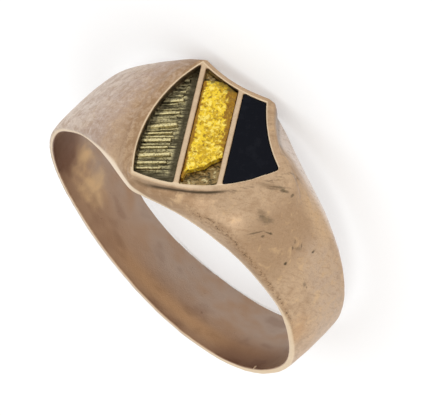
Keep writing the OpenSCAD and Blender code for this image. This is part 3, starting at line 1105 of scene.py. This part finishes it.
# %% Colour the floor of the cells
FLOOR_OLIVE = (0.060, 0.050, 0.028, 1)
FLOOR_GREY_GREEN = (0.17, 0.145, 0.09, 1)
CHIP_BROWN = (0.34, 0.23, 0.095, 1)
# Painted highlight colour for the ridges and glints.
RIDGE_HIGHLIGHT_GOLD = (0.80, 0.70, 0.38, 1)
RIDGE_SLANT = math.radians(11)
# Width of the strip along the bar that is painted darker as painted shade.
SHADED_STRIP = 0.46
ridge_point = gold.point_in(AS_IT_LIES @ ON_FACE @ Matrix.Rotation(BAR_TURN + RIDGE_SLANT, 4, "Z"))
strokes = gold.noise(gold.stretched(ridge_point, (9, 0.9, 1)), 1.0, 3, 0.6)
chips = gold.noise(gold.stretched(ridge_point, (4.5, 2.0, 1)), 1.0, 4, 0.7, 0.8)
in_cell = past_head.step(-0.28, -0.36) * w.between(-1.0, -0.9, -0.24, -0.14)
# Painted shade: the strip along the bar is painted darker.
in_shaded_strip = across.step(BARE[0] + SHADED_STRIP + 0.10, BARE[0] + SHADED_STRIP - 0.14)
in_yellow_cell = across.step(BAR_1, BAR_1 - 0.2)
hollows = in_yellow_cell * (chips * 0.5 + speckle * 0.5).step(0.50, 0.42) * 0.75
# Painted glints: a few bright flecks at the ends of the yellow cell.
fleck_glints = chips.step(0.57, 0.64) * in_yellow_cell
ridge_top = w.step(-CELL_DEPTH + 0.05, -CELL_DEPTH + 0.18)
between_ridges = (1 - in_shaded_strip) * strokes.step(0.40, 0.62) * grain.step(0.30, 0.55) * 0.65
off_wall = (past_inner[BARE_SIDE] + 0.12 * u).step(0.02, -0.14)
# Painted highlights on the ridge tops and strokes, fewer beside the wall.
lit = (ridge_top * grain.step(0.25, 0.55) * (0.55 + 0.75 * strokes)).most(between_ridges)
lit = lit * (0.2 + 0.8 * off_wall) * along.step(-2.75, -2.35)
floor_colour = gold.cover(
    FLOOR_OLIVE,
    (strokes.step(0.35, 0.7) * (0.8 - 0.5 * in_shaded_strip), FLOOR_GREY_GREEN),
    (in_yellow_cell * chips.step(0.38, 0.52), CHIP_BROWN),
    (hollows, FLOOR_OLIVE),
    (in_shaded_strip * chips.step(0.50, 0.66) * 0.6, FLOOR_GREY_GREEN),
    (lit.most(fleck_glints * 0.8), RIDGE_HIGHLIGHT_GOLD),
)
colour = gold.mix(in_cell, colour, floor_colour)
print("with the floor of the cells:", len(gold.nodes), "nodes")

# %% [markdown]
# ## Rose gold: the near rim and the finger hole
# The near rim is painted a creamy line, a painted highlight, which is broadest and whitest beside the
# shield's base point. The finger hole is painted darker brown than the outside, as painted shade. It is
# greyer deeper down and streaked, with an orange band by the near rim and golden patches, all painted
# reflections, and it is painted darker at both ends of what one sees of it, as painted shade. One bright nick
# is in its rim.

# %% Colour the near rim and the finger hole
# Painted highlight colour for the near rim beside the base point.
RIM_HIGHLIGHT_WHITE = (0.98, 0.86, 0.72, 1)
BORE_BROWN = (0.38, 0.235, 0.145, 1)
BORE_GREY = (0.40, 0.30, 0.235, 1)
# Painted shade colour for the ends of the finger hole.
BORE_SHADE = (0.20, 0.105, 0.065, 1)
# Painted reflections: golden patches in the finger hole.
BORE_REFLECTIONS = [Mark(*row) for row in (
    (100.5, hole_r, 0.25, 0.75, 0.50, 0.95, 0),
    (107.0, hole_r, 1.00, 1.30, 0.16, 0.45, -20),
    (116.0, hole_r, 0.45, 0.95, 0.60, 0.80, 20),
    (113.0, hole_r, 1.30, 0.90, 0.20, 0.45, -10),
)]
NICK = Mark(-139.6, hole_r, 2.12, 0.09, 0.13, 1.0, 0)
# Painted highlight: the near rim is painted cream, broader and whiter beside the base point.
by_point = place.between(-9, 4, 9, 34)
rim_highlight_width = 0.20 + 0.25 * place.step(-62, -82) * off_back + 0.50 * by_point
rim = (below_rim - 0.22 * by_point).step(0.20, 0.02) * (radius - hole_r - rim_highlight_width).step(0.12, -0.10)
rim = rim * radius.step(hole_r + 0.02, hole_r + 0.06)
bore = radius.step(hole_r + 0.10, hole_r + 0.02)
# Painted reflections: streaks and an orange band in the finger hole.
streaks = gold.noise(gold.stretched(ring_point, (0.55, 0.55, 1.1)), 0.9, 2, 0.45)
near_orange = z.spot(1.35, 0.8) * abs(place).step(128, 146)
# Painted shade: browner deeper in, and darker at both ends of what one sees of the finger hole.
deep_shade = place.between(112, 124, 140, 160) * z.step(-1.6, -0.4)
cloudy = (gold.noise(ring_point, 1.3, 3, 0.5, 0.4) - 0.5) * 2.4
left_end_shade = place.between(60, 80, 90, 108) * z.step(-0.4, 1.2)
right_end_shade = place.between(-172, -156, -140, -120) * z.step(0.0, 1.6)
dark = left_end_shade.most(right_end_shade * 0.75) + streaks.step(0.50, 0.70) * 0.35
# The finger hole's colour: painted shade with painted reflections.
bore_shade_and_reflections = gold.cover(
    BORE_BROWN,
    (z.step(1.3, -0.6) * streaks.step(0.15, 0.6), BORE_GREY),
    (near_orange * 0.5, ORANGE),
    (deep_shade * 0.5, BORE_BROWN),
    *(((from_mark(bore_reflection) + cloudy).step(2.2, -0.2) * bore_reflection.dark, GOLDEN) for bore_reflection in BORE_REFLECTIONS),
    (dark.math("MINIMUM", 0.9), BORE_SHADE),
)
# Painted highlight on the near rim, and the finger hole's painted shade and reflections.
colour = gold.cover(
    colour,
    (rim * (0.62 + 0.35 * speckle), CREAM),
    (rim * by_point * 0.4, RIM_HIGHLIGHT_WHITE),
    (bore, bore_shade_and_reflections),
    (from_mark(NICK).step(1.1, 0.9), CREAM),
    (scratches * 0.08, CREAM),
)
print("with the rim and the finger hole:", len(gold.nodes), "nodes")

# %% [markdown]
# ## Rose gold: the shine
# Old satin metal is a little rougher where it is mottled and a little smoother in scratches and in the
# finger hole. A fine bump of grain, speckle and scratches breaks up the reflections.

# %% Put on the rose gold
RELIEF = 0.02 * MM
gold.set(
    Base_Color=colour,
    Metallic=1.0,
    Roughness=0.36 + 0.14 * mottle - 0.08 * scratches - 0.08 * bore,
    Normal=gold.bump(grain * 0.6 - scratches * 0.6 + speckle * 0.6, RELIEF, 0.8),
)
gold.put_on(ring_of_rose_gold)
print("rose gold:", len(gold.nodes), "nodes")

# %% [markdown]
# ## Yellow enamel over foil
# The foil shines through the clear enamel, bright on its folds and brown between them; its bright glints are
# painted highlights, and its dark pits and crease dashes are painted shade. The glass is thicker and amber
# along both bars, mottled along the black one, and stained olive at the end that is uppermost in the picture.

# %% Make the yellow enamel
FOIL_YELLOW = (0.90, 0.63, 0.035, 1)
FOIL_DEEP = (0.62, 0.38, 0.015, 1)
# Painted highlight colour for the foil's glints.
FOIL_GLINT = (1.0, 0.82, 0.18, 1)
# Painted shade colour for the foil's pits and creases, also its mottling along the black bar.
FOIL_SHADE_AND_MOTTLE = (0.22, 0.12, 0.010, 1)
AMBER = (0.30, 0.135, 0.008, 1)
DARK_OLIVE = (0.13, 0.09, 0.012, 1)


def make_yellow_finish():
    yellow = Finish("yellow_enamel_over_foil")
    face_point = yellow.point_in(AS_IT_LIES @ ON_FACE @ Matrix.Rotation(BAR_TURN, 4, "Z"))
    along, across = yellow.parts(face_point)[:2]
    folds = yellow.noise(face_point, 2.0, 3, 0.6, 1.2)
    pits = yellow.noise(face_point, 4.2, 2, 0.55, 0.6)
    wrinkles = yellow.noise(face_point, 2.6, 1, 0.4, 2.0)
    fine = yellow.noise(face_point, 7.0, 3, 0.6, 0.6)
    # Painted shade: dark dashes in the creases of the foil.
    crease_shade_dashes = abs(wrinkles - 0.5).step(0.020, 0.006) * folds.step(0.53, 0.45)
    wavy = (folds - 0.5) * 0.7 + (pits - 0.5) * 0.45
    bare_band = (YELLOW[1] - across + wavy * 0.5).step(0.28, 0.15)
    black_band = (across - YELLOW[0] + wavy - along * 0.11).step(0.40, 0.14)
    upper_end = (along - across * 0.42 + (pits - 0.5) * 1.2).step(3.75, 4.15)
    # Painted highlights and painted shade over the foil's own yellow and brown.
    colour = yellow.cover(
        FOIL_DEEP,
        (folds.step(0.42, 0.60), FOIL_YELLOW),
        (pits.step(0.52, 0.66) * 0.8, FOIL_GLINT),
        (pits.step(0.42, 0.34) * 0.75, FOIL_SHADE_AND_MOTTLE),
        (crease_shade_dashes * 0.9, FOIL_SHADE_AND_MOTTLE),
        (bare_band.most(black_band) * 0.92, AMBER),
        (black_band * fine.step(0.46, 0.60) * 0.4, FOIL_SHADE_AND_MOTTLE),
        (black_band * fine.step(0.42, 0.32) * 0.3, FOIL_YELLOW),
        (upper_end * 0.85, DARK_OLIVE),
    )
    yellow.set(
        Base_Color=colour,
        Metallic=0.5,
        Roughness=0.30,
        Specular_IOR_Level=0.2,
        Coat_Weight=0.15,
        Coat_Roughness=0.1,
        Normal=yellow.bump(folds + pits * 0.8, 0.09 * MM, 0.8),
    )
    yellow.put_on(yellow_enamel_left)
    return yellow


yellow_finish = make_yellow_finish()
print("yellow enamel:", len(yellow_finish.nodes), "nodes")

# %% [markdown]
# ## Black enamel
# The black glass has a breath of blue, a few bubbles and rubbed places, and otherwise a clean gloss.

# %% Make the black enamel
BLACK_GLASS = (0.0035, 0.0042, 0.0075, 1)
RUBBED_BLACK = (0.012, 0.013, 0.018, 1)


def make_black_finish():
    black = Finish("black_enamel")
    point = black.point_in(AS_IT_LIES @ ON_FACE)
    rubbed = black.noise(point, 1.2, 4, 0.6)
    bubbles = black.cells(point, 2.4).step(0.09, 0.04)
    colour = black.mix(rubbed.step(0.5, 0.75) * 0.5, BLACK_GLASS, RUBBED_BLACK)
    black.set(
        Base_Color=colour,
        Roughness=0.16 + 0.2 * rubbed,
        Specular_IOR_Level=0.06,
        Normal=black.bump(rubbed * 0.5 - bubbles, 0.01 * MM, 0.5),
    )
    black.put_on(black_enamel_fill)
    return black


black_finish = make_black_finish()
print("black enamel:", len(black_finish.nodes), "nodes")

# %% [markdown]
# ## The floor and the light
# The ring lies on a plain pale light table under soft light from all round, as small things are
# photographed: the sky and the table's own glow give most of it, and two large soft lamps give the metal
# something to shine with.

# %% Make the floor and the lights
FLOOR_SIZE = 3.0
FLOOR_GREY = (0.62, 0.62, 0.62, 1)
FLOOR_PALE = (0.64, 0.64, 0.64, 1)
FLOOR_GLOW = 0.36
SKY_STRENGTH = 1.0


def make_floor():
    select_only()
    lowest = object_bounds()[0].z
    bpy.ops.mesh.primitive_plane_add(size=FLOOR_SIZE, location=(0, 0, lowest))
    floor = new_object("floor")
    bpy.ops.object.transform_apply(location=True, rotation=True, scale=True)
    pale = Finish("pale_floor")
    shade = pale.noise(pale.object_point, 8.0, 2)
    pale.set(
        Base_Color=pale.mix(shade, FLOOR_GREY, FLOOR_PALE),
        Roughness=0.8,
        Emission_Color=(1, 1, 1, 1),
        Emission_Strength=FLOOR_GLOW,
    )
    pale.put_on(floor)


def make_lamp(name, azimuth, elevation, distance, size, watts):
    data = bpy.data.lights.new(name, "AREA")
    data.size = size
    data.energy = watts
    lamp = bpy.data.objects.new(name, data)
    bpy.context.scene.collection.objects.link(lamp)
    a, e = math.radians(azimuth), math.radians(elevation)
    towards = Vector((math.sin(a) * math.cos(e), -math.cos(a) * math.cos(e), math.sin(e)))
    lamp.location = towards * distance
    lamp.rotation_mode = "QUATERNION"
    lamp.rotation_quaternion = (-towards).to_track_quat("-Z", "Y")


def make_sky():
    sky = bpy.data.worlds.new("light_tent")
    sky.use_nodes = True
    background = sky.node_tree.nodes["Background"]
    background.inputs["Color"].default_value = (1, 1, 1, 1)
    background.inputs["Strength"].default_value = SKY_STRENGTH
    bpy.context.scene.world = sky


make_floor()
make_sky()
make_lamp("key_light", azimuth=-80, elevation=55, distance=0.50, size=0.40, watts=0.35)
make_lamp("fill_light", azimuth=70, elevation=60, distance=0.50, size=0.40, watts=0.20)
bpy.context.scene.view_settings.view_transform = "Standard"
print("floor, sky and lamps ready")
